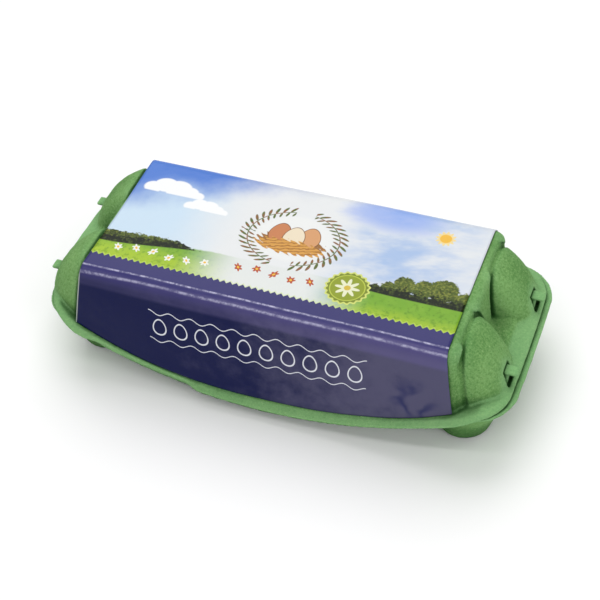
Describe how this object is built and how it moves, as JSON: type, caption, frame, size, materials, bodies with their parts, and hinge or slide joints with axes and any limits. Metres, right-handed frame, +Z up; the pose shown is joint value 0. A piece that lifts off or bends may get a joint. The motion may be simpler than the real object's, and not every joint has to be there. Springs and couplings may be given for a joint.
{
  "type": "egg carton",
  "caption": "Shut moulded-pulp egg carton with domed ends, a rim that dips in a curve at the front, end locks and a printed paper label over the lid.",
  "frame": {"origin": "under the middle of the pack, on the surface that the cups stand on", "axes": "+X along the length to the right end, +Y to the hinge at the back, +Z up; the dipped front edge faces -Y"},
  "size_m": [0.2434, 0.1094, 0.0655],
  "materials": {
    "pulp": "matte moulded pulp, dyed green, fine fibre grain",
    "printed_paper": "coated paper, glossy print"
  },
  "bodies": {
    "root": {"lid": "pulp", "tray": "pulp", "label": "printed_paper"}
  },
  "joints": []
}
